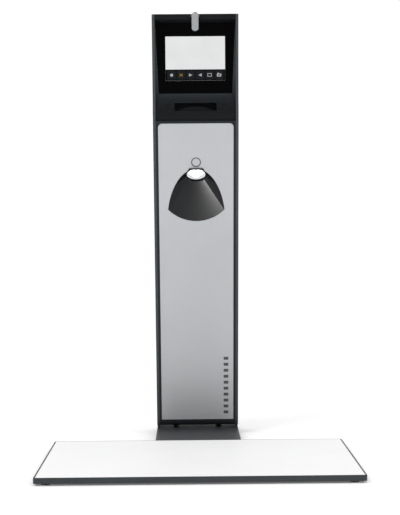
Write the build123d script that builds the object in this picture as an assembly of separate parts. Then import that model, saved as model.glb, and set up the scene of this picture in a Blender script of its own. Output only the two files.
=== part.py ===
from build123d import *
from math import asin, cos, degrees, radians, sin
import os

# Desktop document camera. Millimetres, +Z up, front faces -Y, origin under the middle of its footprint.

# Base
plate_width = 430.0
plate_depth = 310.0
plate_thickness = 7.7
plate_corner = 3.5
tray_wall = 2.2
tray_floor = 1.5
surface_thickness = 2.6
seat_gap = 0.1              # clearance round every inset panel
foot_radius = 6.4
foot_height = 2.8
foot_inset = 15.3           # centre of a rubber foot from the plate's side
foot_inset_front = 14.0
foot_plate_reach = 196.0    # foot plate behind the work surface
foot_plate_thickness = 6.0
foot_plate_corner = 4.0
tongue_width = 100.0
tongue_length = 60.0
tongue_thickness = 2.4
neck_length = 6.0           # upright between the foot plate and its tongue
skirt_bevel = 0.5
fine_bevel = 0.4

# Column
column_width = 128.4
column_lean = 14.35
column_foot_back = 128.0    # front face meets the foot plate's level this far behind the work surface
column_length = 506.6
column_depth = 56.0
side_thickness = 4.0
end_radius = 16.0
foot_gap = 2.0              # column over the foot plate
frame_thickness = 3.0
frame_border = 3.7
strip_height = 14.5         # bare strip under the silver panel
panel_length = column_length - 31.9
panel_thickness = 1.2
panel_corner = 6.0
shell_thickness = 2.2
spine_thickness = 2.0
spine_depth = 30.0          # spine web behind the front face

# Lamp scoop: cone surfaces that meet at one apex behind the lamp
scoop_top = column_length - 86.8
scoop_depth = 15.1
scoop_drop = 63.0           # from its top down to its two corners
scoop_half = 43.9           # the mouth's ellipse, across
scoop_reach = 80.2          # the mouth's ellipse, along the slope
scoop_arc_radius = 61.6
scoop_arc_centre = scoop_top - 19.5
scoop_rim = 0.8
scoop_wall = 1.5
lamp_radius = 14.0
lamp_wall = 1.4
lamp_length = 9.0
lamp_brow = 1.1             # lamp housing over the scoop's top
led_count = 3
led_ring = 6.5
led_radius = 4.6

# Head
nose_setback = 3.2
nose_rise = 21.2            # cheek's foot over the nose
head_lean = 10.4
head_length = 123.9
head_depth = 64.0
glass_setback = 8.6         # glass's lower edge behind the nose
glass_rise = 28.3
glass_lean = 3.8
glass_height = 104.8
glass_top_width = 119.3
glass_bottom_width = 109.8
glass_thickness = 1.8
screen_width = 89.0
screen_height = glass_height - 39.3
screen_bottom = 19.2        # screen above the glass's lower edge
module_margin = 5.0
module_thickness = 6.0
hood_lip = 8.0
head_drop = 5.0             # head's top falls this much towards its back
hood_thickness = 3.0
hood_front_radius = 1.5
hood_back_radius = 2.5
slot_width = 62.8
slot_height = 12.0
slot_rise = 1.0             # slot over the nose crease
marker_spread = 41.9
marker_width = 6.7
marker_height = 1.8
lever_width = 11.0
lever_length = 28.0
lever_thickness = 5.0
lever_top = 3.0             # lever's tip above the hood
lever_front = -4.5          # lever's front face ahead of the cheeks
lever_gap = 0.6
lever_depth = 7.0
lever_edge = 1.8
lever_root = 2.4            # half height of the lever's root round its pin
lever_pin_radius = 1.5
lever_pin_t = 3.5
lever_pin_s = -3.2
pin_reach = 3.0             # lever pin's seat in the hood at each end

# Camera
pocket_setback = 7.4        # dark liner behind the nose
pocket_depth = 14.0
pocket_wall = 1.2
arch_height = 6.9
arch_thickness = 3.0
camera_rise = 14.0          # lens axis over the slot's top
barrel_setback = 19.0
barrel_radius = 11.0
barrel_wall = 2.0
lens_thickness = 2.5
barrel_length = 20.0
camera_size = 32.0
camera_length = 26.0
zoom_travel = 5.0
mirror_setback = 14.8
mirror_width = 14.0
mirror_height = 9.0
mirror_thickness = 1.5
mirror_lean = -50.0

# Hinge
pin_radius = 4.0
pin_clearance = 0.05
bush_wall = 2.0
pin_overhang = 2.0
knuckle_radius = 10.0
eye_radius = 9.0
lug_front = 9.0
lug_length = 36.0
leg_front = 24.0            # bracket's leg behind the pin
leg_length = 15.0
leg_thickness = 4.0
bracket_thickness = 8.0
bracket_spread = 34.0
knuckle_gap = 0.5
body_gap = 0.3

# Rear connections
connector_width = 96.0
connector_height = 26.0
connector_rise = 34.0       # middle of the connector row, along the column
socket_depth = 12.0
socket_wall = 1.2
inlet_x = -40.0
inlet_radius = 5.5
inlet_bore = 3.2
inlet_pin = 1.0
button_x = 40.0
button_flange = 3.0
button_radius = 4.0
button_travel = 1.0
button_proud = 1.2
screw_radius = 1.6
vent_count = 9
vent_pitch = 7.0
vent_height = 3.0
vent_width = 34.0
vent_spread = 23.0          # middle of each field of vents from the centre
vent_low = 300.0

# Places that follow from the sizes above
total_depth = plate_depth + foot_plate_reach
plate_front = -total_depth / 2
plate_back = plate_front + plate_depth
surface_z = foot_height + plate_thickness
inner_half = column_width / 2 - side_thickness
lean_cos = cos(radians(column_lean))
lean_sin = sin(radians(column_lean))
pivot_height = end_radius + foot_gap
pivot_s = (pivot_height - end_radius * lean_sin) / lean_cos
column_frame = Location((0, plate_back + column_foot_back, surface_z), (column_lean, 0, 0))


def on_column(t, s):
    """Side-view point t behind the column's front face and s up its slope."""
    y = plate_back + column_foot_back + t * lean_cos - s * lean_sin
    return (y, surface_z + t * lean_sin + s * lean_cos)


nose = on_column(0, column_length)
cheek_foot = (nose[0] + nose_setback, nose[1] + nose_rise)
head_frame = Location((0, cheek_foot[0], cheek_foot[1]), (head_lean, 0, 0))
glass_foot = (nose[0] + glass_setback, nose[1] + glass_rise)
glass_frame = Location((0, glass_foot[0], glass_foot[1]), (glass_lean, 0, 0))
pivot = on_column(end_radius, pivot_s)


def on_head(t, s):
    """Side-view point t behind the cheeks' front edge and s up it."""
    lean = radians(head_lean)
    return (cheek_foot[0] + t * cos(lean) - s * sin(lean), cheek_foot[1] + t * sin(lean) + s * cos(lean))


def on_glass(t, s):
    """Side-view point t behind the glass's front and s up from its lower edge."""
    lean = radians(glass_lean)
    return (glass_foot[0] + t * cos(lean) - s * sin(lean), glass_foot[1] + t * sin(lean) + s * cos(lean))


def profile(points, x_low, x_high, radius=0.0):
    """Solid of a side-view outline, from x_low to x_high, with one radius or a list of them."""
    corners = [(x_low, y, z) for y, z in points]
    outline = FilletPolyline(*corners, radius=radius, close=True)
    return extrude(make_face(outline), amount=x_high - x_low, dir=(1, 0, 0))


def block(frame, x, t, s):
    """Box in a leaning frame, from (low, high) pairs across, in depth and up."""
    size = Box(x[1] - x[0], t[1] - t[0], s[1] - s[0])
    return frame * Pos((x[0] + x[1]) / 2, (t[0] + t[1]) / 2, (s[0] + s[1]) / 2) * size


def rod(frame, x, t, s, radius, length):
    """Cylinder along the depth of a leaning frame, its front end at t."""
    return frame * Pos(x, t + length / 2, s) * Rot(90, 0, 0) * Cylinder(radius, length)


def cross_rod(y, z, x_low, x_high, radius):
    """Cylinder along X through a side-view point."""
    return Pos((x_low + x_high) / 2, y, z) * Rot(0, 90, 0) * Cylinder(radius, x_high - x_low)


def save(name, *solids):
    """Writes one node's solids to its own file."""
    os.makedirs("parts", exist_ok=True)
    found = [solid for shape in solids for solid in shape.solids()]
    shape = found[0] if len(found) == 1 else Compound(children=found)
    export_step(shape, f"parts/{name}.step")


def slab(width, depth, height, low, corner=0.0):
    """Flat plate over the work surface's footprint, its underside at height low."""
    outline = RectangleRounded(width, depth, corner) if corner > 0 else Rectangle(width, depth)
    return Pos(0, (plate_front + plate_back) / 2, low) * extrude(outline, amount=height)


# Base

tray_low = foot_height
core_low = tray_low + tray_floor
surface_low = surface_z - surface_thickness
inset_width = plate_width - 2 * tray_wall
inset_depth = plate_depth - 2 * tray_wall
inset_corner = plate_corner - tray_wall
tongue_box = Pos(0, plate_back - tongue_length / 2, core_low + tongue_thickness / 2)
tongue_solid = tongue_box * Box(tongue_width, tongue_length, tongue_thickness)
tongue_slot = tongue_box * Box(tongue_width + 2 * seat_gap, tongue_length + 2 * seat_gap,
                               tongue_thickness + 2 * seat_gap)


def base_tray():
    """Dark skirt and floor, slotted at the back for the foot plate's tongue."""
    tray = slab(plate_width, plate_depth, plate_thickness, tray_low, plate_corner)
    rim = tray.faces().sort_by(Axis.Z)[-1].outer_wire().edges()
    tray = chamfer(rim, skirt_bevel)
    tray -= slab(inset_width, inset_depth, plate_thickness, core_low, inset_corner)
    return tray - tongue_slot


def work_surface():
    """White writing surface, inset into the tray."""
    top = slab(inset_width - 2 * seat_gap, inset_depth - 2 * seat_gap, surface_thickness, surface_low,
               inset_corner)
    return chamfer(top.faces().sort_by(Axis.Z)[-1].outer_wire().edges(), fine_bevel)


def core_board():
    """Stiff board between the tray's floor and the work surface, relieved for the tongue."""
    board = slab(inset_width - 2 * seat_gap, inset_depth - 2 * seat_gap, surface_low - core_low, core_low,
                 inset_corner)
    return board - tongue_slot


def foot_plate_blank():
    """Steel plate under the column, level with the work surface, with a tongue into the tray."""
    plate = Pos(0, plate_back + foot_plate_reach / 2, surface_z - foot_plate_thickness / 2) * Box(
        column_width, foot_plate_reach - 2 * seat_gap, foot_plate_thickness)
    plate = fillet(plate.edges().filter_by(Axis.Z).sort_by(Axis.Y)[-2:], foot_plate_corner)
    plate = chamfer(plate.faces().sort_by(Axis.Z)[-1].outer_wire().edges(), fine_bevel)
    neck_height = surface_z - foot_plate_thickness - core_low + 1.0
    neck = Pos(0, plate_back + neck_length / 2 + seat_gap, core_low + neck_height / 2) * Box(
        tongue_width, neck_length, neck_height)
    reach = Pos(0, plate_back + seat_gap, core_low + tongue_thickness / 2) * Box(
        tongue_width, 2 * neck_length, tongue_thickness)
    return plate + neck + reach + tongue_solid


def rubber_foot(x, y, top):
    """Round rubber foot from the table up to the given height."""
    pad = Pos(x, y, top / 2) * Cylinder(foot_radius, top)
    return chamfer(pad.edges().sort_by(Axis.Z)[:1], skirt_bevel)


foot_x = plate_width / 2 - foot_inset
front_foot_y = plate_front + foot_inset_front
back_foot_y = plate_back - foot_inset_front
plate_foot_x = column_width / 2 - foot_inset
plate_foot_y = plate_back + foot_plate_reach - foot_inset_front
plate_foot_top = surface_z - foot_plate_thickness

save("base_tray", base_tray())
save("work_surface", work_surface())
save("core_board", core_board())
save("front_feet", *[rubber_foot(side * foot_x, front_foot_y, foot_height) for side in (-1, 1)])
save("middle_feet", *[rubber_foot(side * foot_x, back_foot_y, foot_height) for side in (-1, 1)])
save("rear_feet", *[rubber_foot(side * plate_foot_x, plate_foot_y, plate_foot_top) for side in (-1, 1)])


# Hinge at the foot: two fixed brackets and a pin, two turning knuckles and their friction bushes

spine_foot = 8.0            # spine's lower end over the pin
bracket_centres = [side * bracket_spread for side in (-1, 1)]
bracket_half = bracket_thickness / 2
knuckle_low = bracket_spread + bracket_half + knuckle_gap
knuckle_high = knuckle_low + bracket_thickness
bush_radius = pin_radius + bush_wall
pin_half = knuckle_high + pin_overhang


def hinge_bracket(centre):
    """Eye round the pin on a leg that leans back to the foot plate, clear of the turning end cap."""
    y, z = pivot
    x_low = centre - bracket_half
    x_high = centre + bracket_half
    leg = [(y + 2.0, z + eye_radius - 1.0), (y + 3.0, z - 3.5), (y + leg_front, surface_z),
           (y + leg_front + leg_length, surface_z), (y + leg_front + leg_length, surface_z + leg_thickness),
           (y + leg_front, z + 2.0)]
    bracket = profile(leg, x_low, x_high) + cross_rod(y, z, x_low, x_high, eye_radius)
    return bracket - cross_rod(y, z, x_low, x_high, pin_radius)


def bracket_screw(centre):
    """Countersunk screw up through the foot plate into a bracket."""
    y = pivot[0] + leg_front + leg_length / 2
    return Pos(centre, y, surface_z - foot_plate_thickness / 2) * Cylinder(screw_radius, foot_plate_thickness)


def hinge_knuckle(side):
    """Turning lug outside each bracket, bolted to the spine's flange by its back."""
    y, z = pivot
    x_low, x_high = sorted((side * knuckle_low, side * knuckle_high))
    top = pivot_s + lug_length
    corners = [on_column(lug_front, pivot_s), on_column(lug_front, top), on_column(spine_depth, top),
               on_column(spine_depth, pivot_s + spine_foot)]
    lug = profile(corners, x_low, x_high) + cross_rod(y, z, x_low, x_high, knuckle_radius)
    return lug - cross_rod(y, z, x_low, x_high, bush_radius)


def hinge_bush(side):
    """Friction bush in a knuckle, running on the pin."""
    x_low, x_high = sorted((side * knuckle_low, side * knuckle_high))
    bush = cross_rod(*pivot, x_low, x_high, bush_radius)
    return bush - cross_rod(*pivot, x_low, x_high, pin_radius + pin_clearance)


def foot_plate():
    """Foot plate drilled for the bracket screws."""
    plate = foot_plate_blank()
    for centre in bracket_centres:
        plate -= bracket_screw(centre)
    return plate


save("foot_plate", foot_plate())
save("hinge_bracket_left", hinge_bracket(bracket_centres[0]))
save("hinge_bracket_right", hinge_bracket(bracket_centres[1]))
save("bracket_screws", *[bracket_screw(centre) for centre in bracket_centres])
save("hinge_pin", cross_rod(*pivot, -pin_half, pin_half, pin_radius))
save("hinge_knuckles", *[hinge_knuckle(side) for side in (-1, 1)])
save("hinge_bushes", *[hinge_bush(side) for side in (-1, 1)])


# Column

lower_end = foot_gap / lean_cos
rear_end = (foot_gap - column_depth * lean_sin) / lean_cos
shoulder_s = column_length - 45.0
shoulder_radius = 20.0
head_base = -10.0           # head's back starts this far below the cheek's foot
panel_half = inner_half - frame_border
panel_top = strip_height + panel_length
frame_top = panel_top + frame_border
fit_half = inner_half - seat_gap
depth_axis = Axis((0, 0, 0), (0, lean_cos, lean_sin))


def side_panel(side):
    """One plate from the foot to the top of the head, rounded about the hinge at its foot."""
    corners = [on_column(0, lower_end), nose, cheek_foot, on_head(0, head_length),
               on_head(head_depth, head_length - head_drop), on_head(head_depth, head_base),
               on_column(column_depth, shoulder_s), on_column(column_depth, rear_end)]
    radii = [end_radius, 2.0, 12.0, hood_front_radius, hood_back_radius, shoulder_radius, shoulder_radius, 4.0]
    x_low, x_high = sorted((side * inner_half, side * (inner_half + side_thickness)))
    panel = profile(corners, x_low, x_high, radii)
    outer_face = panel.faces().sort_by(Axis.X)[-1 if side > 0 else 0]
    return chamfer(outer_face.outer_wire().edges(), 0.6)


def scoop_outline(margin=0.0):
    """Elliptical mouth of the cone in the front face, closed by the lower arc, grown by a margin."""
    centre_s = scoop_top - scoop_reach
    corner_s = scoop_top - scoop_drop
    across = scoop_half + margin
    along = scoop_reach + margin
    start = degrees(asin((corner_s - centre_s) / along))
    mouth = EllipticalCenterArc((0, centre_s), across, along, start, arc_size=180 - 2 * start)
    half = across * cos(radians(start))
    low_s = scoop_arc_centre - scoop_arc_radius - margin
    lower = ThreePointArc((-half, corner_s), (0, low_s), (half, corner_s))
    return make_face(Wire([mouth.edge(), lower.edge()]))


def front_plane(t):
    """Sketch plane parallel to the front face, t behind it, with X across and Y up the slope."""
    return Plane(column_frame * Location((0, t, 0), (90, 0, 0)))


def lamp_frame():
    """Frame at the scoop's cone apex with Z along the lamp's axis, down and forward."""
    return column_frame * Pos(0, scoop_depth, scoop_top) * Rot(135, 0, 0)


lamp_seat = lamp_radius     # distance from a right-angled cone's apex where it is this wide
lamp_outer = lamp_radius + lamp_wall


def lamp_body(radius, extra):
    """Short cylinder on the lamp's axis, flat along its top."""
    body = lamp_frame() * Pos(0, 0, lamp_seat - lamp_length / 2) * Cylinder(radius, lamp_length + 2 * extra)
    brow = scoop_top + lamp_brow + extra
    return body - block(column_frame, (-40, 40), (-40, 60), (brow, brow + 60))


def scoop_mouth(depth, margin):
    """Straight-sided opening for the scoop and the lamp through the front."""
    opening = extrude(front_plane(-1.0) * scoop_outline(margin), amount=-(depth + 1.0))
    return opening + lamp_body(lamp_outer + margin, margin)


def front_frame():
    """Dark plate between the side panels, with the silver panel's seat and the scoop's opening."""
    frame = block(column_frame, (-fit_half, fit_half), (0, frame_thickness), (strip_height, frame_top))
    seat = block(column_frame, (-panel_half - seat_gap, panel_half + seat_gap), (-1.0, panel_thickness),
                 (strip_height - 1.0, panel_top + seat_gap))
    seat = fillet(seat.edges().filter_by(depth_axis).sort_by(Axis.Z)[-2:], panel_corner)
    return frame - seat - scoop_mouth(frame_thickness + 1.0, seat_gap)


def front_panel():
    """Silver front, round at its top corners."""
    panel = block(column_frame, (-panel_half, panel_half), (0, panel_thickness), (strip_height, panel_top))
    panel = fillet(panel.edges().filter_by(depth_axis).sort_by(Axis.Z)[-2:], panel_corner)
    return panel - scoop_mouth(frame_thickness + 1.0, seat_gap)


def light_scoop():
    """Concave black reflector: the cone over its mouth, hollowed by a smaller one."""
    apex_out = column_frame * Pos(0, scoop_depth + scoop_wall, scoop_top)
    apex_in = column_frame * Pos(0, scoop_depth, scoop_top - scoop_rim)
    outer = loft([front_plane(0) * scoop_outline(), Vertex(*apex_out.position)], ruled=True)
    mouth = front_plane(0) * scoop_outline(-scoop_rim)
    hollow = loft([mouth, Vertex(*apex_in.position)], ruled=True)
    shell = outer - hollow - lamp_body(lamp_outer + seat_gap, 4.0)
    return shell.solids().sort_by(SortBy.VOLUME)[-1]


def lamp_disc(radius, low, high, margin=0.0):
    """Disc on the lamp's axis between two distances from the cone's apex, flat like its housing."""
    disc = lamp_frame() * Pos(0, 0, (low + high) / 2) * Cylinder(radius, high - low)
    brow = scoop_top + lamp_brow - lamp_wall + margin
    return disc - block(column_frame, (-40, 40), (-40, 60), (brow, brow + 60))


def lamp_housing():
    """Ring and brow that hold the lamp over the scoop."""
    floor = lamp_seat - lamp_length + socket_wall
    return lamp_body(lamp_outer, 0.0) - lamp_disc(lamp_radius, floor, lamp_seat + lamp_length, seat_gap)


def end_cap():
    """Rounded strip across the column's foot, concentric with the hinge."""
    ring = cross_rod(*pivot, -fit_half, fit_half, end_radius)
    ring -= cross_rod(*pivot, -fit_half - 1, fit_half + 1, end_radius - shell_thickness)
    start = radians(180 + column_lean)
    sweep = radians(45.0)
    reach = 4 * end_radius
    y, z = pivot
    rays = [(y + reach * cos(start + a), z + reach * sin(start + a)) for a in (0, sweep / 2, sweep)]
    return ring & profile([pivot] + rays, -fit_half - 1, fit_half + 1)


save("side_panel_left", side_panel(-1))
save("side_panel_right", side_panel(1))
save("front_frame", front_frame())
save("front_panel", front_panel())
save("light_scoop", light_scoop())
save("lamp_housing", lamp_housing())
save("end_cap", end_cap())


# Inside the column

web_front = spine_depth
web_back = spine_depth + spine_thickness
spine_low = pivot_s + spine_foot
spine_high = frame_top - 6.0
flange_front = frame_thickness + 1.0
board_thickness = 1.6
board_standoff = 4.0
board_front = web_back + board_standoff
board_back = board_front + board_thickness
cover_inner = column_depth - shell_thickness
plate_panel = 1.5           # connector panel's thickness
panel_front = cover_inner - plate_panel
window_half = connector_width / 2
window_low = connector_rise - connector_height / 2
window_high = connector_rise + connector_height / 2
window_margin = 3.0
sockets = {                 # across, outer width and height, opening's width and height
    "network_socket": (22.0, 16.0, 14.0, 12.2, 8.4),
    "video_socket": (-2.0, 16.5, 7.5, 14.2, 4.8),
    "usb_socket": (-23.0, 14.6, 8.0, 12.4, 5.0),
}
cable_notch = 16.0


def spine():
    """Steel channel: a web with a flange along each side panel, notched for the harness."""
    web = block(column_frame, (-fit_half, fit_half), (web_front, web_back), (spine_low, spine_high))
    for side in (-1, 1):
        flange = sorted((side * (fit_half - spine_thickness), side * fit_half))
        web += block(column_frame, flange, (flange_front, web_back), (spine_low, spine_high))
    notch = block(column_frame, (-cable_notch, cable_notch), (web_front - 1, web_back + 1),
                  (spine_high - 20.0, spine_high + 1))
    window = block(column_frame, (-20, 20), (web_front - 1, web_back + 1), (100.0, 140.0))
    return web - notch - window


def standoffs(points):
    """Round spacers between the spine and a board."""
    return [rod(column_frame, x, web_back, s, 2.5, board_standoff) for x, s in points]


def circuit_board(width, low, high):
    """Board behind the spine with its larger components on its back."""
    half = width / 2
    board = block(column_frame, (-half, half), (board_front, board_back), (low, high))
    span = high - low
    for across, along, size, tall in ((-0.22, 0.3, 14.0, 3.0), (0.2, 0.5, 20.0, 2.5), (-0.15, 0.75, 10.0, 5.0)):
        x = across * width
        s = low + along * span
        board += block(column_frame, (x - size / 2, x + size / 2), (board_back, board_back + tall),
                       (s - size / 2, s + size / 2))
    return board


def connector_panel():
    """Plate behind the rear window, cut for the sockets, the inlet and the button."""
    panel = block(column_frame, (-window_half - window_margin, window_half + window_margin),
                  (panel_front, cover_inner), (window_low - window_margin, window_high + window_margin))
    for x, _, _, width, height in sockets.values():
        panel -= block(column_frame, (x - width / 2, x + width / 2), (panel_front - 1, cover_inner + 1),
                       (connector_rise - height / 2, connector_rise + height / 2))
    panel -= rod(column_frame, inlet_x, panel_front - 1, connector_rise, inlet_bore, plate_panel + 2)
    return panel - rod(column_frame, button_x, panel_front - 1, connector_rise, button_radius + body_gap,
                       plate_panel + 2)


def socket(x, outer_width, outer_height, width, height):
    """Open-backed metal shell behind the panel."""
    front = panel_front - socket_depth
    shell = block(column_frame, (x - outer_width / 2, x + outer_width / 2), (front, panel_front),
                  (connector_rise - outer_height / 2, connector_rise + outer_height / 2))
    return shell - block(column_frame, (x - width / 2, x + width / 2), (front + socket_wall, panel_front + 1),
                         (connector_rise - height / 2, connector_rise + height / 2))


def power_inlet():
    """Round low-voltage inlet with its contact pin."""
    front = panel_front - socket_depth
    barrel = rod(column_frame, inlet_x, front, connector_rise, inlet_radius, socket_depth)
    barrel -= rod(column_frame, inlet_x, front + socket_wall, connector_rise, inlet_bore, socket_depth)
    return barrel + rod(column_frame, inlet_x, front, connector_rise, inlet_pin, socket_depth - socket_wall)


def power_button():
    """Round button, free to travel inwards on its switch."""
    front = panel_front - button_flange
    cap = rod(column_frame, button_x, front, connector_rise, button_radius,
              plate_panel + button_flange + button_proud)
    flange = rod(column_frame, button_x, front, connector_rise, button_radius + socket_wall,
                 button_flange - body_gap)
    return cap + flange


def power_switch():
    """Switch under the button, a full travel away from it."""
    back = panel_front - button_flange - button_travel - body_gap
    front = panel_front - socket_depth
    return block(column_frame, (button_x - button_radius, button_x + button_radius), (front, back),
                 (connector_rise - button_radius, connector_rise + button_radius))


def socket_board():
    """Upright board that carries the sockets, the inlet and the switch."""
    back = panel_front - socket_depth
    return block(column_frame, (-window_half, window_half), (back - board_thickness, back),
                 (window_low, window_high))


def rear_shell(corners_out, corners_in, radii_out, radii_in):
    """Cover between the side panels that follows their back edge."""
    corners = corners_out + corners_in[::-1]
    return profile(corners, -fit_half, fit_half, radii_out + radii_in[::-1])


cover_top = shoulder_s - 25.0


def rear_cover():
    """Column's back, with a window for the connectors and two fields of vents."""
    cover = block(column_frame, (-fit_half, fit_half), (cover_inner, column_depth), (rear_end + 4.0, cover_top))
    cover -= block(column_frame, (-window_half, window_half), (cover_inner - 1, column_depth + 1),
                   (window_low, window_high))
    for side in (-1, 1):
        for row in range(vent_count):
            s = vent_low + row * vent_pitch
            middle = side * vent_spread
            cover -= block(column_frame, (middle - vent_width / 2, middle + vent_width / 2),
                           (cover_inner - 1, column_depth + 1), (s, s + vent_height))
    return cover


def head_cover():
    """Back of the head, meeting the column's cover below its shoulder."""
    top = head_length - head_drop - hood_thickness - seat_gap
    corners_out = [on_column(column_depth, cover_top + seat_gap), on_column(column_depth, shoulder_s),
                   on_head(head_depth, head_base), on_head(head_depth, top)]
    corners_in = [on_column(cover_inner, cover_top + seat_gap), on_column(cover_inner, shoulder_s),
                  on_head(head_depth - shell_thickness, head_base), on_head(head_depth - shell_thickness, top)]
    radii_out = [0, shoulder_radius, shoulder_radius, 0]
    radii_in = [0, shoulder_radius + shell_thickness, shoulder_radius - shell_thickness, 0]
    return rear_shell(corners_out, corners_in, radii_out, radii_in)


screw_x = fit_half - 8.0
screw_rows = (70.0, 250.0, cover_top - 12.0)


def cover_screws():
    """Flush screws along both edges of the rear cover."""
    places = [(side * screw_x, s) for s in screw_rows for side in (-1, 1)]
    return [rod(column_frame, x, cover_inner, s, screw_radius, shell_thickness) for x, s in places]


def lamp_sink():
    """Finned heat sink on the lamp's back, along its axis."""
    base = lamp_frame() * Pos(0, 0, lamp_seat - lamp_length - 1.5) * Cylinder(lamp_radius, 3.0)
    keep = block(column_frame, (-40, 40), (frame_thickness + 1.0, web_front - 1.0), (scoop_top - 40, scoop_top + 30))
    return base & keep


lamp_back = lamp_seat - lamp_length


def led_lenses():
    """Three collimating lenses in a ring under the lamp's cover glass."""
    lenses = []
    for turn in range(led_count):
        centre = lamp_frame() * Rot(0, 0, 360 * turn / led_count - 90) * Pos(led_ring, 0, lamp_seat - 3.2)
        lenses.append(centre * Cylinder(led_radius, 2.4))
    return lenses


cover = rear_cover()
for screw in cover_screws():
    cover -= screw
save("spine", spine())
save("main_board", circuit_board(90.0, 170.0, 330.0))
save("power_board", circuit_board(80.0, 70.0, 140.0))
save("board_standoffs", *standoffs([(x, s) for x in (-34, 34) for s in (78.0, 132.0, 180.0, 320.0)]))
save("connector_panel", connector_panel())
for name, sizes in sockets.items():
    save(name, socket(*sizes))
save("power_inlet", power_inlet())
save("power_button", power_button())
save("power_switch", power_switch())
save("socket_board", socket_board())
save("rear_cover", cover)
save("head_cover", head_cover())
save("cover_screws", *cover_screws())
save("lamp_sink", lamp_sink())
save("lamp_board", lamp_disc(lamp_radius - seat_gap, lamp_back + 1.2, lamp_back + 2.8))
save("lamp_lenses", *led_lenses())
save("lamp_glass", lamp_disc(lamp_radius - seat_gap, lamp_seat - 1.6, lamp_seat - 0.4))


# Head

nose_crease = (nose[0] + 0.2, nose[1] + 0.8)
ledge_break = on_glass(-4.2, -10.6)
ledge_wall = 2.0


def glass_outline(margin):
    """Display glass's outline in its own plane: wider at the top."""
    low = glass_bottom_width / 2 - margin
    high = glass_top_width / 2 - margin
    return Polygon((-low, margin), (low, margin), (high, glass_height - margin), (-high, glass_height - margin),
                   align=None)


def glass_plane(t):
    """Sketch plane parallel to the glass, t behind its front."""
    return Plane(glass_frame * Location((0, t, 0), (90, 0, 0)))


def cheek(side):
    """Bevelled filler between a side panel and the glass, running out at the nose."""
    corners = [nose_crease, cheek_foot, on_head(0, head_length - hood_lip - seat_gap),
               on_glass(0, glass_height + seat_gap), on_glass(glass_thickness, glass_height + seat_gap),
               on_glass(glass_thickness, 0), on_glass(0, 0), ledge_break]
    x_low, x_high = sorted((side * (glass_bottom_width / 2 - 2.0), side * fit_half))
    wedge = profile(corners, x_low, x_high)
    low = Vector(side * glass_bottom_width / 2, *on_glass(0, 0))
    high = Vector(side * glass_top_width / 2, *on_glass(0, glass_height))
    end = Vector(side * fit_half, *nose_crease)
    normal = (high - low).cross(end - low)
    if normal.X * side < 0:
        normal = -normal
    bevel = Plane(origin=low, z_dir=normal)
    wedge = split(wedge, bisect_by=bevel, keep=Keep.TOP)
    seat = extrude(glass_plane(-1.0) * offset(glass_outline(0), amount=seat_gap), amount=-(glass_thickness + 3.0))
    return wedge - seat


def slot_opening(margin):
    """Wide opening in the ledge over the nose."""
    low = nose_crease[1] + slot_rise
    corners = [(nose[0] - 4, low - margin), (nose[0] + 14, low - margin),
               (nose[0] + 14, low + slot_height + margin), (nose[0] - 4, low + slot_height + margin)]
    return profile(corners, -slot_width / 2 - margin, slot_width / 2 + margin)


def marker_seat(side, margin):
    """Small window beside the slot."""
    middle = nose_crease[1] + slot_rise + slot_height - 2.5
    half = marker_height / 2 + margin
    corners = [(nose[0] - 4, middle - half), (nose[0] + 9, middle - half),
               (nose[0] + 9, middle + half), (nose[0] - 4, middle + half)]
    centre = side * marker_spread
    return profile(corners, centre - marker_width / 2 - margin, centre + marker_width / 2 + margin)


def ledge_skin(gap):
    """Side-view outline of the ledge and the nose, gap in from the front skin."""
    return [on_glass(gap, -seat_gap), (ledge_break[0] + gap, ledge_break[1]),
            (nose_crease[0] + gap, nose_crease[1] + 0.3 * gap), on_column(2.5 + gap, frame_top + seat_gap)]


def head_bezel():
    """Ledge, nose and bevelled cheeks round the glass, with the slot and the marker windows cut."""
    front = ledge_skin(0.0)
    back = ledge_skin(ledge_wall)
    skin = profile(front + back[::-1], -fit_half, fit_half)
    bezel = skin + cheek(-1) + cheek(1)
    bezel -= slot_opening(0.0)
    for side in (-1, 1):
        bezel -= marker_seat(side, 0.0)
    return bezel


def marker_windows():
    """Two small clear windows behind the ledge's side openings."""
    windows = []
    for side in (-1, 1):
        y, z = nose[0] + 8.6, nose_crease[1] + slot_rise + slot_height - 2.5
        windows.append(Pos(side * marker_spread, y, z) * Box(marker_width + 2.0, 1.0, marker_height + 2.0))
    return windows


def camera_pocket():
    """Dark liner behind the slot, with an arched lip across its floor."""
    low = nose_crease[1] + slot_rise
    front = nose[0] + pocket_setback
    back = front + pocket_depth
    wall = pocket_wall
    top = low + slot_height
    outer = profile([(front, low - wall), (back, low - wall), (back, top + wall), (front, top + wall)],
                    -slot_width / 2 - wall, slot_width / 2 + wall)
    inner = profile([(front - 1, low), (back - wall, low), (back - wall, top), (front - 1, top)],
                    -slot_width / 2, slot_width / 2)
    arch = Plane.XZ.offset(-front) * make_face(Wire([
        ThreePointArc((-slot_width / 2 + 2, low - 0.2), (0, low + arch_height), (slot_width / 2 - 2, low - 0.2)).edge(),
        Line((slot_width / 2 - 2, low - 0.2), (-slot_width / 2 + 2, low - 0.2)).edge()]))
    lip = extrude(arch, amount=-arch_thickness)
    roof = profile([(back - wall - 6.0, top - 0.1), (back - wall + 0.1, top - 0.1),
                    (back - wall + 0.1, top + wall + 1), (back - wall - 6.0, top + wall + 1)], -9.0, 9.0)
    return (outer - inner + lip) - roof


lever_half = lever_width / 2
lever_frame = head_frame * Pos(0, 0, head_length)


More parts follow.
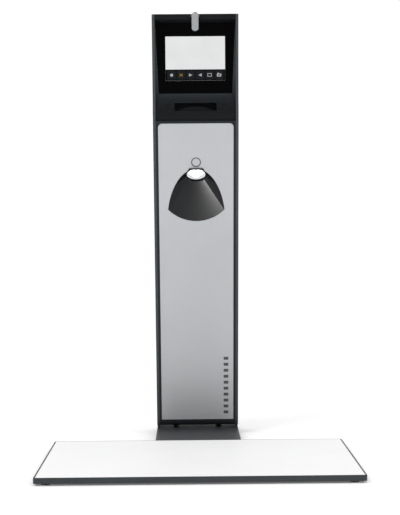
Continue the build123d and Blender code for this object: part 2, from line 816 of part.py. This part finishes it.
def hood():
    """Top of the head, its underside sloping back to the glass."""
    top = head_length
    back = top - head_drop
    corners = [on_head(0, top - hood_lip), on_head(0, top), on_head(head_depth, back),
               on_head(head_depth, back - hood_thickness), on_head(head_depth - 20.0, back - hood_thickness),
               on_glass(glass_thickness + 5.0, glass_height + 9.0),
               on_glass(glass_thickness + 5.0, glass_height + 0.2), on_glass(-0.1, glass_height + 0.2)]
    radii = [0.8, hood_front_radius, hood_back_radius, 0, 0, 3.0, 0, 0]
    shape = profile(corners, -fit_half, fit_half, radii)
    return shape - lever_cut() - lever_pin_hole(lever_pin_radius, lever_half + lever_gap + pin_reach)




def lever_cut():
    """Notch in the hood's front edge for the lever's root and its pin."""
    notch = block(lever_frame, (-lever_half - lever_gap, lever_half + lever_gap), (-8.0, lever_depth),
                  (-hood_lip - 6.0, 2.0))
    return notch


def release_lever():
    """Round-ended metal lever hanging in front of the hood from its pin."""
    outline = SlotOverall(lever_length, lever_width, rotation=90)
    plane = Plane(lever_frame * Location((0, lever_front + lever_thickness, lever_top - lever_length / 2), (90, 0, 0)))
    lever = extrude(plane * outline, amount=lever_thickness)
    lever = fillet(lever.faces().sort_by(Axis.Y)[0].outer_wire().edges(), lever_edge)
    root = block(lever_frame, (-lever_root, lever_root),
                 (lever_front + lever_thickness - skirt_bevel, lever_pin_t + lever_root),
                 (lever_pin_s - lever_root, lever_pin_s + lever_root))
    lever += root
    return lever - lever_pin_hole(lever_pin_radius + pin_clearance, lever_half)


def lever_pin_hole(radius, half):
    """Cylinder along the lever's pin."""
    return lever_frame * Pos(0, lever_pin_t, lever_pin_s) * Rot(0, 90, 0) * Cylinder(radius, 2 * half)


def display_glass():
    """Black-bordered glass with a window for the screen."""
    pane = extrude(glass_plane(0) * glass_outline(0), amount=-glass_thickness)
    return pane - block(glass_frame, (-screen_width / 2 - seat_gap, screen_width / 2 + seat_gap),
                        (-1, glass_thickness + 1),
                        (screen_bottom - seat_gap, screen_bottom + screen_height + seat_gap))


def display_panel():
    """Lit face of the screen, flush in the glass."""
    return block(glass_frame, (-screen_width / 2, screen_width / 2), (0.1, glass_thickness),
                 (screen_bottom, screen_bottom + screen_height))


module_front = glass_thickness
module_back = module_front + module_thickness
module_half = screen_width / 2 + module_margin
module_low = screen_bottom - module_margin
module_high = screen_bottom + screen_height + module_margin


def display_bracket():
    """Sheet behind the display, turned back at both sides to reach the side panels."""
    plate = block(glass_frame, (-module_half - 1, module_half + 1), (module_back, module_back + 1.2),
                  (module_low, module_high))
    for side in (-1, 1):
        ear = sorted((side * module_half, side * (fit_half - 2.0)))
        plate += block(glass_frame, ear, (module_back, module_back + 1.2), (module_low + 20, module_low + 40))
    return plate


camera_z = nose_crease[1] + slot_rise + slot_height + camera_rise
barrel_front = nose[0] + barrel_setback
barrel_back = barrel_front + barrel_length
camera_front = barrel_front + zoom_travel + 6.0


def camera_housing():
    """Square block behind the display with a bore for the lens barrel."""
    box = Pos(0, camera_front + camera_length / 2, camera_z) * Box(camera_size, camera_length, camera_size)
    box = fillet(box.edges().filter_by(Axis.Y), 2.0)
    bore = Pos(0, camera_front + camera_length / 2 - 2.0, camera_z) * Rot(90, 0, 0) * Cylinder(
        barrel_radius + pin_clearance, camera_length)
    return box - bore


def lens_barrel():
    """Zoom group: a tube with a front lens seat, sliding in the housing."""
    tube = Pos(0, (barrel_front + barrel_back) / 2, camera_z) * Rot(90, 0, 0) * Cylinder(barrel_radius, barrel_length)
    return tube - Pos(0, barrel_front + barrel_length / 2 - 1.0, camera_z) * Rot(90, 0, 0) * Cylinder(
        barrel_radius - barrel_wall, barrel_length + 4.0)


def lens_group():
    """Two lens elements in the barrel."""
    lenses = []
    for y in (barrel_front + 2.0, barrel_back - 4.0):
        lenses.append(Pos(0, y, camera_z) * Rot(90, 0, 0) * Cylinder(barrel_radius - barrel_wall, lens_thickness))
    return lenses


def sensor_board():
    """Image sensor's board on the camera's back."""
    y = camera_front + camera_length + board_thickness / 2
    return Pos(0, y, camera_z) * Box(camera_size - 2, board_thickness, camera_size - 2)


def camera_bracket():
    """Shelf under the camera that spans the side panels."""
    top = camera_z - camera_size / 2
    return Pos(0, camera_front + camera_length / 2, top - 1.0) * Box(2 * fit_half, camera_length - 4.0, 2.0)


def fold_mirror():
    """Small mirror that turns the camera's view down through the slot."""
    mirror = Box(mirror_width, mirror_thickness, mirror_height)
    return Pos(0, nose[0] + mirror_setback, camera_z + body_gap) * Rot(mirror_lean, 0, 0) * mirror


save("head_bezel", head_bezel())
save("camera_pocket", camera_pocket())
save("marker_windows", *marker_windows())
save("hood", hood())
save("release_lever", release_lever())
save("lever_pin", lever_pin_hole(lever_pin_radius, lever_half + lever_gap + pin_reach))
save("display_glass", display_glass())
save("display_panel", display_panel())
save("display_module", block(glass_frame, (-module_half, module_half), (module_front, module_back),
                             (module_low, module_high)))
save("display_bracket", display_bracket())
save("camera_housing", camera_housing())
save("lens_barrel", lens_barrel())
save("lens_group", *lens_group())
save("sensor_board", sensor_board())
save("camera_bracket", camera_bracket())
save("fold_mirror", fold_mirror())
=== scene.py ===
from math import cos, pi, radians, sin

import bmesh
import bpy
from mathutils import Matrix, Vector


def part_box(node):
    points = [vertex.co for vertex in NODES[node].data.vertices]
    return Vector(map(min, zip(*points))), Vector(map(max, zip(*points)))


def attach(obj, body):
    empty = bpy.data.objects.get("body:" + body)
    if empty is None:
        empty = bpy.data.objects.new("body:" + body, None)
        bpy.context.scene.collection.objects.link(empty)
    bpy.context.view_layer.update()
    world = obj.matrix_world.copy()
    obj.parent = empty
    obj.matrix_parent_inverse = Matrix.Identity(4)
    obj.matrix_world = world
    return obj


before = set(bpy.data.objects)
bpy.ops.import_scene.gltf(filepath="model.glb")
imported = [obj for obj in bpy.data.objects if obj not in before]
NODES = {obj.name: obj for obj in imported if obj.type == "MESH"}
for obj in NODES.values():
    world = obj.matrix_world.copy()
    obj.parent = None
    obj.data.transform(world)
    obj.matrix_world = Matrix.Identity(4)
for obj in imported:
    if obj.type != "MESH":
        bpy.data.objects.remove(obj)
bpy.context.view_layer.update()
MM = 0.001


# Camera: a long lens, almost straight on to the front, in metres and degrees

CAMERA_BACK = 2.1416        # from the base tray's back edge, towards the viewer
CAMERA_UP = 0.3266          # over the base tray's top
CAMERA_SIDE = -0.0147
CAMERA_TILT = 1.419
CAMERA_ROLL = -0.456
CAMERA_YAW = -0.518
CAMERA_LENS = 100.2         # millimetres
SENSOR = 36.0               # millimetres
FARTHEST = 20.0             # where the view is cut off


def make_camera():
    """Puts the camera in front of the object."""
    tray_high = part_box("base_tray")[1]
    data = bpy.data.cameras.new("camera")
    data.lens = CAMERA_LENS
    data.sensor_width = SENSOR
    data.clip_end = FARTHEST
    camera = bpy.data.objects.new("camera", data)
    bpy.context.scene.collection.objects.link(camera)
    place = Matrix.Translation((CAMERA_SIDE, tray_high[1] - CAMERA_BACK, tray_high[2] + CAMERA_UP))
    turn = Matrix.Rotation(radians(CAMERA_YAW), 4, "Z") @ Matrix.Rotation(radians(90 - CAMERA_TILT), 4, "X")
    turn = turn @ Matrix.Rotation(radians(CAMERA_ROLL), 4, "Z")
    camera.matrix_world = place @ turn
    bpy.context.scene.camera = camera


# Materials

RAMP_LOW = 0.3              # where a colour ramp starts and ends
RAMP_HIGH = 0.7
BROAD_SCALE = 9.0           # slow colour variation
BROAD_DETAIL = 3.0
FINE_DETAIL = 6.0
RELIEF_STRENGTH = 0.25
GLOW_SCALE = 30.0
GLOW_ROUGHNESS = 0.3
GLOW_SHINE = 0.02


def shader_of(material):
    """A material's main shader."""
    return material.node_tree.nodes["Principled BSDF"]


def new_material(name, colour, metallic, roughness):
    """A material with its shader's own sockets set; returns the material, its tree and its shader."""
    material = bpy.data.materials.new(name)
    material.use_nodes = True
    tree = material.node_tree
    shader = shader_of(material)
    shader.inputs["Base Color"].default_value = (*colour, 1.0)
    shader.inputs["Metallic"].default_value = metallic
    shader.inputs["Roughness"].default_value = roughness
    return material, tree, shader


def object_noise(tree, scale, detail, stretch=(1, 1, 1)):
    """Noise in the object's own coordinates."""
    coords = tree.nodes.new("ShaderNodeTexCoord")
    mapping = tree.nodes.new("ShaderNodeMapping")
    mapping.inputs["Scale"].default_value = stretch
    noise = tree.nodes.new("ShaderNodeTexNoise")
    noise.inputs["Scale"].default_value = scale
    noise.inputs["Detail"].default_value = detail
    tree.links.new(coords.outputs["Object"], mapping.inputs["Vector"])
    tree.links.new(mapping.outputs["Vector"], noise.inputs["Vector"])
    return noise.outputs["Fac"]


def ramp(tree, source, low, high):
    """Colours between two ends, driven by a source."""
    node = tree.nodes.new("ShaderNodeValToRGB")
    node.color_ramp.elements[0].color = (*low, 1.0)
    node.color_ramp.elements[0].position = RAMP_LOW
    node.color_ramp.elements[1].color = (*high, 1.0)
    node.color_ramp.elements[1].position = RAMP_HIGH
    tree.links.new(source, node.inputs["Fac"])
    return node.outputs["Color"]


def bump(tree, shader, source, distance):
    """Fine relief."""
    node = tree.nodes.new("ShaderNodeBump")
    node.inputs["Strength"].default_value = RELIEF_STRENGTH
    node.inputs["Distance"].default_value = distance
    tree.links.new(source, node.inputs["Height"])
    tree.links.new(node.outputs["Normal"], shader.inputs["Normal"])


def spread_roughness(tree, shader, source, low, high):
    """Roughness that varies between two values."""
    node = tree.nodes.new("ShaderNodeMapRange")
    node.inputs["To Min"].default_value = low
    node.inputs["To Max"].default_value = high
    tree.links.new(source, node.inputs["Value"])
    tree.links.new(node.outputs["Result"], shader.inputs["Roughness"])


def tinted(name, low, high, roughness, grain, relief, metallic=0.0, stretch=(1, 1, 1), shine=0.5):
    """A finish with slight colour variation, fine grain and uneven gloss."""
    middle = tuple((a + b) / 2 for a, b in zip(low, high))
    material, tree, shader = new_material(name, middle, metallic, sum(roughness) / 2)
    broad = object_noise(tree, BROAD_SCALE, BROAD_DETAIL)
    fine = object_noise(tree, grain, FINE_DETAIL, stretch)
    tree.links.new(ramp(tree, broad, low, high), shader.inputs["Base Color"])
    spread_roughness(tree, shader, fine, *roughness)
    bump(tree, shader, fine, relief)
    shader.inputs["Specular IOR Level"].default_value = shine
    return material


def lit(shader, colour, strength):
    """Gives a shader a plain light of its own."""
    shader.inputs["Emission Color"].default_value = (*colour, 1.0)
    shader.inputs["Emission Strength"].default_value = strength


def glowing(name, colour, strength, spread=0.03):
    """A lit surface, slightly uneven."""
    material, tree, shader = new_material(name, (0.0, 0.0, 0.0), 0.0, GLOW_ROUGHNESS)
    dimmer = tuple(value * (1 - spread) for value in colour)
    shade = ramp(tree, object_noise(tree, GLOW_SCALE, BROAD_DETAIL), dimmer, colour)
    tree.links.new(shade, shader.inputs["Emission Color"])
    shader.inputs["Emission Strength"].default_value = strength
    shader.inputs["Specular IOR Level"].default_value = GLOW_SHINE
    return material


def grey(value, blue):
    """A grey whose blue is this many times its red."""
    return (value, value * (1 + blue) / 2, value * blue)


BASE_BLUE = 1.06            # under the bezel's bands
PAINT_BLUE = 1.25
PLASTIC_BLUE = 1.3
MOULDED = (0.45, 0.58)      # roughness of the moulded parts

# Heights over the bezel's foot as fractions of its own, with the lightness painted there: painted shade low
# on the bezel and painted light higher up, where the light from above catches it
BEZEL_SHADE_BANDS = ((0.0, 0.010), (0.12, 0.007), (0.22, 0.012), (0.28, 0.022), (0.45, 0.036), (1.0, 0.036))


def height_shaded(name, bands, grain, relief, shine):
    """A moulding with painted light and shade: its colour changes with its height in bands, with fine grain.
    """
    shades = [(position, (*grey(value, PLASTIC_BLUE), 1.0)) for position, value in bands]
    ends = [grey(value, BASE_BLUE) for value in (bands[0][1], bands[-1][1])]
    material = tinted(name, *ends, MOULDED, grain, relief, shine=shine)
    tree = material.node_tree
    coords = tree.nodes.new("ShaderNodeTexCoord")
    split = tree.nodes.new("ShaderNodeSeparateXYZ")
    shade = tree.nodes.new("ShaderNodeValToRGB")
    elements = shade.color_ramp.elements
    elements[0].position, elements[0].color = shades[0]
    elements[1].position, elements[1].color = shades[-1]
    for position, colour in shades[1:-1]:
        elements.new(position).color = colour
    tree.links.new(coords.outputs["Generated"], split.inputs["Vector"])
    tree.links.new(split.outputs["Z"], shade.inputs["Fac"])
    tree.links.new(shade.outputs["Color"], shader_of(material).inputs["Base Color"])
    return material


def make_paints():
    """Paint and print, by finish name."""
    return {
        "paint": tinted("powder_coat", grey(0.026, PAINT_BLUE), grey(0.032, PAINT_BLUE), (0.42, 0.55),
                        2600, 0.00012, shine=0.3),
        # Lighter copy of the powder coat on the side panels: painted light, where the light from above falls
        # on the cheeks
        "cheek_lit_paint": tinted("side_paint_painted_light", grey(0.034, PAINT_BLUE), grey(0.040, PAINT_BLUE), (0.42, 0.55),
                              2600, 0.00012, shine=0.35),
        "foot": tinted("foot_paint", grey(0.022, PAINT_BLUE), grey(0.028, PAINT_BLUE), (0.4, 0.5),
                       2600, 0.0001, shine=0.4),
        "silver": tinted("silver_front", (0.43, 0.44, 0.455), (0.46, 0.47, 0.485), (0.42, 0.5),
                         2400, 0.00004, metallic=0.35, stretch=(1, 1, 0.08)),
        "print": tinted("grey_print", (0.045, 0.05, 0.055), (0.06, 0.065, 0.07), (0.5, 0.6), 1500, 0.00002),
    }


def make_plastics():
    """Moulded plastic, rubber, laminate and boards, by finish name."""
    return {
        "plastic": tinted("moulded_plastic", grey(0.016, PLASTIC_BLUE), grey(0.020, PLASTIC_BLUE), MOULDED,
                          3200, 0.0001, shine=0.1),
        # Darker than the moulded plastic: the hood's own black, darkened further as painted shade on its lip,
        # and painted shade inside the camera pocket
        "hood": tinted("hood_moulding_and_painted_shade", grey(0.006, PLASTIC_BLUE), grey(0.009, PLASTIC_BLUE), MOULDED,
                       3200, 0.0001, shine=0.06),
        # The bezel's bands are painted shade and painted light by height
        "bezel": height_shaded("bezel_painted_shade", BEZEL_SHADE_BANDS, 3200, 0.0001, 0.05),
        "black": tinted("black_plastic", (0.008, 0.008, 0.009), (0.012, 0.012, 0.013), (0.4, 0.55),
                        2600, 0.0001),
        "gloss": tinted("gloss_black", (0.0006, 0.0007, 0.0008), (0.0009, 0.001, 0.0012), (0.22, 0.26),
                        600, 0.00001, shine=0.2),
        "white": tinted("laminate", (0.86, 0.86, 0.86), (0.88, 0.88, 0.885), (0.5, 0.62), 1800, 0.00005),
        "rubber": tinted("rubber", (0.012, 0.012, 0.012), (0.02, 0.02, 0.02), (0.7, 0.9), 1500, 0.0002),
        "board": tinted("pressed_board", (0.35, 0.27, 0.18), (0.45, 0.36, 0.25), (0.7, 0.85), 800, 0.0002),
        "circuit": tinted("solder_resist", (0.01, 0.07, 0.03), (0.015, 0.1, 0.04), (0.3, 0.45), 700, 0.00005),
    }


def make_metals():
    """Bare metal, by finish name."""
    return {
        "metal": tinted("satin_metal", (0.30, 0.31, 0.32), (0.36, 0.37, 0.38), (0.22, 0.3), 1800, 0.00002,
                        metallic=1.0, stretch=(1, 1, 0.1)),
        "steel": tinted("zinc_steel", (0.42, 0.42, 0.43), (0.5, 0.5, 0.5), (0.35, 0.5), 900, 0.00003,
                        metallic=1.0),
        "bronze": tinted("bronze", (0.42, 0.28, 0.12), (0.5, 0.34, 0.16), (0.4, 0.5), 900, 0.00005,
                         metallic=1.0),
        "cast": tinted("cast_metal", (0.45, 0.45, 0.46), (0.52, 0.52, 0.53), (0.45, 0.6), 1200, 0.0001,
                       metallic=1.0),
    }


def make_lamp_cover():
    """Clear cover over the lamp that scatters a little light of its own."""
    material = tinted("lamp_cover", (0.9, 0.92, 0.94), (0.95, 0.96, 0.97), (0.12, 0.18), 400, 0.00001)
    shader = shader_of(material)
    shader.inputs["Transmission Weight"].default_value = 0.95
    shader.inputs["IOR"].default_value = 1.1
    lit(shader, (0.92, 0.94, 0.96), 0.35)
    return material


def make_glass_and_lights():
    """Glass, lenses, the lamp and the screen's contents, by finish name."""
    return {
        "glass": tinted("display_glass", (0.0006, 0.0006, 0.0007), (0.0008, 0.0008, 0.0009), (0.05, 0.08),
                        300, 0.000002, shine=0.03),
        "clear": tinted("clear_lens", (0.8, 0.82, 0.85), (0.85, 0.87, 0.9), (0.05, 0.1), 500, 0.000005),
        "lamp": glowing("lamp_light", (1.0, 0.99, 0.97), 2.4),
        "lamp_cover": make_lamp_cover(),
        # The LED board glows though it is no lamp: painted light from the lamp's glare in its bowl
        "lamp_bowl_painted_light": glowing("lamp_bowl_painted_light", (0.9, 0.92, 0.94), 0.6, 0.3),
        "screen": glowing("screen_image", (0.80, 0.805, 0.81), 1.0, 0.06),
        "menu": glowing("screen_menu", (0.004, 0.005, 0.006), 1.0),
        "tile": glowing("screen_tile", (0.013, 0.015, 0.017), 1.0),
        "icon": glowing("screen_icon", (0.42, 0.42, 0.43), 1.0),
        "icon_orange": glowing("screen_icon_orange", (0.36, 0.22, 0.01), 1.0),
    }


NODE_FINISH = {
    "paint": ["base_tray"],
    # The side panels carry the powder coat with painted light
    "cheek_lit_paint": ["side_panel_left", "side_panel_right"],
    "foot": ["foot_plate"],
    "plastic": ["front_frame", "end_cap", "rear_cover", "head_cover"],
    # The hood finish also stands as painted shade inside the camera pocket
    "hood": ["hood", "camera_pocket"],
    "bezel": ["head_bezel"],
    "white": ["work_surface"],
    "silver": ["front_panel"],
    "rubber": ["front_feet", "middle_feet", "rear_feet"],
    "gloss": ["light_scoop"],
    "glass": ["display_glass"],
    "screen": ["display_panel"],
    "clear": ["lens_group", "fold_mirror"],
    "lamp": ["lamp_lenses"],
    "lamp_cover": ["lamp_glass"],
    # The LED board carries painted light
    "lamp_bowl_painted_light": ["lamp_board"],
    "black": ["lamp_housing", "marker_windows", "power_button", "power_inlet", "connector_panel",
              "power_switch", "lens_barrel"],
    "metal": ["release_lever", "lever_pin"],
    "steel": ["spine", "hinge_bracket_left", "hinge_bracket_right", "hinge_pin", "hinge_knuckles",
              "bracket_screws", "cover_screws", "board_standoffs", "camera_bracket", "display_bracket",
              "network_socket", "video_socket", "usb_socket"],
    "bronze": ["hinge_bushes"],
    "circuit": ["main_board", "power_board", "socket_board", "sensor_board"],
    "cast": ["lamp_sink", "camera_housing", "display_module"],
    "board": ["core_board"],
}


def paint_nodes(finishes):
    """Gives every CAD node its finish."""
    for finish, names in NODE_FINISH.items():
        for name in names:
            node = NODES[name]
            node.data.materials.clear()
            node.data.materials.append(finishes[finish])


# Marks and screen contents, thin pieces on the faces they belong to

COLUMN_LEAN = radians(14.35)
GLASS_LEAN = radians(3.8)

# Sizes in millimetres
SCREEN_THICKNESS = 1.7
PANEL_THICKNESS = 1.2
SCREEN_SKIN = 0.02          # each layer stands this far off the one under it
PRINT_SKIN = 0.05
MENU_HEIGHT = 16.6
TILE_PITCH = 14.2
TILE_COUNT = 6
TILE_GAP = 1.4
TILE_RADIUS = 1.4
TILE_MARGIN = 3.4           # the menu's height less a tile's
DOT_RADIUS = 2.3
CROSS_ARM = ((-2.6, -1.8), (-2.1, -2.4), (2.6, 1.8), (2.1, 2.4))
ARROW_HALF = 2.4
ARROW_TIP = 2.6
FRAME_BAR = (6.4, 0.8)      # width and height
FRAME_BAR_RISE = 2.1        # from the icon's middle
FRAME_POST = (0.8, 3.4)
FRAME_POST_SPREAD = 2.8
CASE_SIZE = (6.6, 4.4, 0.8)  # width, height and corner radius
CASE_DROP = 0.3
FINDER_PLACE = (-1.4, 2.5)  # from the icon's middle
FINDER_SIZE = (2.2, 1.1)
EYE_RADIUS = 1.2
RING_UP = 415.5             # the ring's middle over the front panel's foot
RING_INNER = 5.8
RING_OUTER = 7.4
BAR_COUNT = 10
BAR_ACROSS = 45.0
BAR_UP = 12.0
BAR_PITCH = 10.0
BAR_SIZE = (7.5, 5.0, 1.0)  # width, height and corner radius


def face_point(node, lean, thickness):
    """A function from (across, up, out) in millimetres on a leaning front to a place in the frame."""
    low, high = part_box(node)
    rise = high[2] - low[2] - thickness * MM * sin(lean)
    foot_y = low[1] + rise * sin(lean) / cos(lean)
    centre = (low[0] + high[0]) / 2

    def place(across, up, out):
        """The place for one triple."""
        y = foot_y - up * MM * sin(lean) - out * MM * cos(lean)
        return (centre + across * MM, y, low[2] + up * MM * cos(lean) - out * MM * sin(lean))

    return place


def add_plates(name, place, outlines, low, high, material):
    """One piece of thin plates with the given outlines, from low to high above a face."""
    mesh = bpy.data.meshes.new(name)
    built = bmesh.new()
    for outline in outlines:
        under = [built.verts.new(place(across, up, low)) for across, up in outline]
        over = [built.verts.new(place(across, up, high)) for across, up in outline]
        built.faces.new(over)
        built.faces.new(under[::-1])
        count = len(outline)
        for step in range(count):
            after = (step + 1) % count
            built.faces.new((under[step], under[after], over[after], over[step]))
    bmesh.ops.recalc_face_normals(built, faces=built.faces)
    built.to_mesh(mesh)
    built.free()
    piece = bpy.data.objects.new(name, mesh)
    bpy.context.scene.collection.objects.link(piece)
    mesh.materials.append(material)
    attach(piece, "column")


def rectangle(across, up, width, height):
    """Outline round a middle point."""
    return [(across - width / 2, up - height / 2), (across + width / 2, up - height / 2),
            (across + width / 2, up + height / 2), (across - width / 2, up + height / 2)]


def rounded(across, up, width, height, radius, steps=5):
    """Rectangle outline with round corners."""
    corners = ((1, 1, 0.0), (-1, 1, pi / 2), (-1, -1, pi), (1, -1, 3 * pi / 2))
    points = []
    for side, rise, start in corners:
        for step in range(steps + 1):
            turn = start + pi / 2 * step / steps
            points.append((across + side * (width / 2 - radius) + radius * cos(turn),
                           up + rise * (height / 2 - radius) + radius * sin(turn)))
    return points


def disc(across, up, radius, steps=28):
    """Round outline."""
    return [(across + radius * cos(2 * pi * step / steps), up + radius * sin(2 * pi * step / steps))
            for step in range(steps)]


def ring(across, up, inner, outer, steps=40):
    """Quads that make a flat ring."""
    quads = []
    for step in range(steps):
        first = 2 * pi * step / steps
        last = 2 * pi * (step + 1) / steps
        quads.append([(across + inner * cos(first), up + inner * sin(first)),
                      (across + outer * cos(first), up + outer * sin(first)),
                      (across + outer * cos(last), up + outer * sin(last)),
                      (across + inner * cos(last), up + inner * sin(last))])
    return quads


def arrow(across, up, way):
    """Triangle that points to one side."""
    return [(across - way * ARROW_HALF, up - way * ARROW_HALF), (across + way * ARROW_TIP, up),
            (across - way * ARROW_HALF, up + way * ARROW_HALF)]


def frame_icon(across, up):
    """Four bars round an empty middle."""
    bars = [rectangle(across, up + side * FRAME_BAR_RISE, *FRAME_BAR) for side in (-1, 1)]
    posts = [rectangle(across + side * FRAME_POST_SPREAD, up, *FRAME_POST) for side in (-1, 1)]
    return bars + posts


def case_icon(across, up):
    """Rounded case with a small block on its top."""
    finder = rectangle(across + FINDER_PLACE[0], up + FINDER_PLACE[1], *FINDER_SIZE)
    return [rounded(across, up - CASE_DROP, *CASE_SIZE), finder]


def make_screen(finishes):
    """Menu bar with plain tiles and generic icons along the foot of the screen."""
    place = face_point("display_panel", GLASS_LEAN, SCREEN_THICKNESS)
    low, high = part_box("display_panel")
    width = (high[0] - low[0]) / MM
    middle = MENU_HEIGHT / 2
    layers = [SCREEN_SKIN * step for step in range(5)]
    bar = rectangle(0, middle, width, MENU_HEIGHT)
    add_plates("screen_menu", place, [bar], layers[0], layers[1], finishes["menu"])
    centres = [(step - (TILE_COUNT - 1) / 2) * TILE_PITCH for step in range(TILE_COUNT)]
    tile_size = (TILE_PITCH - TILE_GAP, MENU_HEIGHT - TILE_MARGIN, TILE_RADIUS)
    tiles = [rounded(centre, middle, *tile_size) for centre in centres]
    add_plates("screen_tiles", place, tiles, layers[1], layers[2], finishes["tile"])
    dot_x, cross_x, right_x, left_x, frame_x, case_x = centres
    pale = [disc(dot_x, middle, DOT_RADIUS), arrow(right_x, middle, 1), arrow(left_x, middle, -1)]
    pale += frame_icon(frame_x, middle) + case_icon(case_x, middle)
    add_plates("screen_icons", place, pale, layers[2], layers[3], finishes["icon"])
    falling, rising = [[(cross_x + side * across, middle + up) for across, up in CROSS_ARM]
                       for side in (-1, 1)]
    add_plates("screen_cross_falling", place, [falling], layers[2], layers[3], finishes["icon_orange"])
    add_plates("screen_cross_rising", place, [rising], layers[3], layers[4], finishes["icon_orange"])
    eye = disc(case_x, middle - CASE_DROP, EYE_RADIUS)
    add_plates("screen_icon_eye", place, [eye], layers[3], layers[4], finishes["menu"])


def make_marks(finishes):
    """Plain ring over the lamp and a row of bars low on the front, all without lettering."""
    place = face_point("front_panel", COLUMN_LEAN, PANEL_THICKNESS)
    quads = ring(0, RING_UP, RING_INNER, RING_OUTER)
    add_plates("front_ring", place, quads, 0.0, PRINT_SKIN, finishes["print"])
    bars = [rounded(BAR_ACROSS, BAR_UP + BAR_PITCH * step, *BAR_SIZE) for step in range(BAR_COUNT)]
    add_plates("front_bars", place, bars, 0.0, PRINT_SKIN, finishes["print"])


# Stage, in metres

SWEEP_HALF = 6.0
SWEEP_FRONT = -6.0
SWEEP_BACK = 2.5            # where the floor starts to rise
SWEEP_RADIUS = 1.5
SWEEP_TOP = 6.0
SWEEP_STEPS = 24
SWEEP_GLOW = 0.12
WORLD_STRENGTH = 0.85


def sweep_profile():
    """Side view of the floor: flat, then a quarter circle, then upright."""
    turns = [pi / 2 * step / SWEEP_STEPS for step in range(SWEEP_STEPS + 1)]
    bend = [(SWEEP_BACK + SWEEP_RADIUS * sin(turn), SWEEP_RADIUS * (1 - cos(turn))) for turn in turns]
    return [(SWEEP_FRONT, 0.0)] + bend + [(SWEEP_BACK + SWEEP_RADIUS, SWEEP_TOP)]


def make_stage():
    """Pale floor that sweeps up behind the object."""
    mesh = bpy.data.meshes.new("sweep")
    built = bmesh.new()
    rows = [[built.verts.new((x, y, z)) for x in (-SWEEP_HALF, SWEEP_HALF)] for y, z in sweep_profile()]
    for low, high in zip(rows, rows[1:]):
        face = built.faces.new((low[0], low[1], high[1], high[0]))
        face.smooth = True
    built.to_mesh(mesh)
    built.free()
    sweep = bpy.data.objects.new("sweep", mesh)
    bpy.context.scene.collection.objects.link(sweep)
    material = tinted("sweep_paper", (0.93, 0.93, 0.93), (0.95, 0.95, 0.95), (0.85, 0.95), 40, 0.0001)
    lit(shader_of(material), (1.0, 1.0, 1.0), SWEEP_GLOW)
    sweep.data.materials.append(material)


def area_light(name, place, target, size, power):
    """A soft rectangular white light aimed at a point."""
    data = bpy.data.lights.new(name, "AREA")
    data.shape = "RECTANGLE"
    data.size, data.size_y = size
    data.energy = power
    light = bpy.data.objects.new(name, data)
    light.location = place
    light.rotation_euler = (Vector(target) - Vector(place)).to_track_quat("-Z", "Y").to_euler()
    bpy.context.scene.collection.objects.link(light)
    return light


def reach_only(light, nodes):
    """Keeps a light from everything but these nodes."""
    receivers = bpy.data.collections.new(light.name + "_receivers")
    for name in nodes:
        receivers.objects.link(NODES[name])
    light.light_linking.receiver_collection = receivers


def light_scene():
    """Even white surroundings, two soft studio lights and one for the scoop's sheen."""
    world = bpy.data.worlds.new("studio")
    bpy.context.scene.world = world
    world.use_nodes = True
    background = world.node_tree.nodes["Background"]
    background.inputs["Color"].default_value = (1.0, 1.0, 1.0, 1.0)
    background.inputs["Strength"].default_value = WORLD_STRENGTH
    area_light("key", (-1.6, -1.8, 2.2), (0, 0, 0.3), (1.2, 1.2), 26)
    area_light("fill", (1.8, -1.6, 1.4), (0, 0, 0.35), (1.0, 1.4), 12)
    sheen = area_light("sheen", (-0.52, -1.0, 0.42), (0.012, 0.09, 0.40), (0.18, 0.6), 95)
    reach_only(sheen, ["light_scoop"])
    bpy.context.scene.view_settings.view_transform = "Standard"


finishes = {**make_paints(), **make_plastics(), **make_metals(), **make_glass_and_lights()}
paint_nodes(finishes)
make_screen(finishes)
make_marks(finishes)
make_camera()
make_stage()
light_scene()
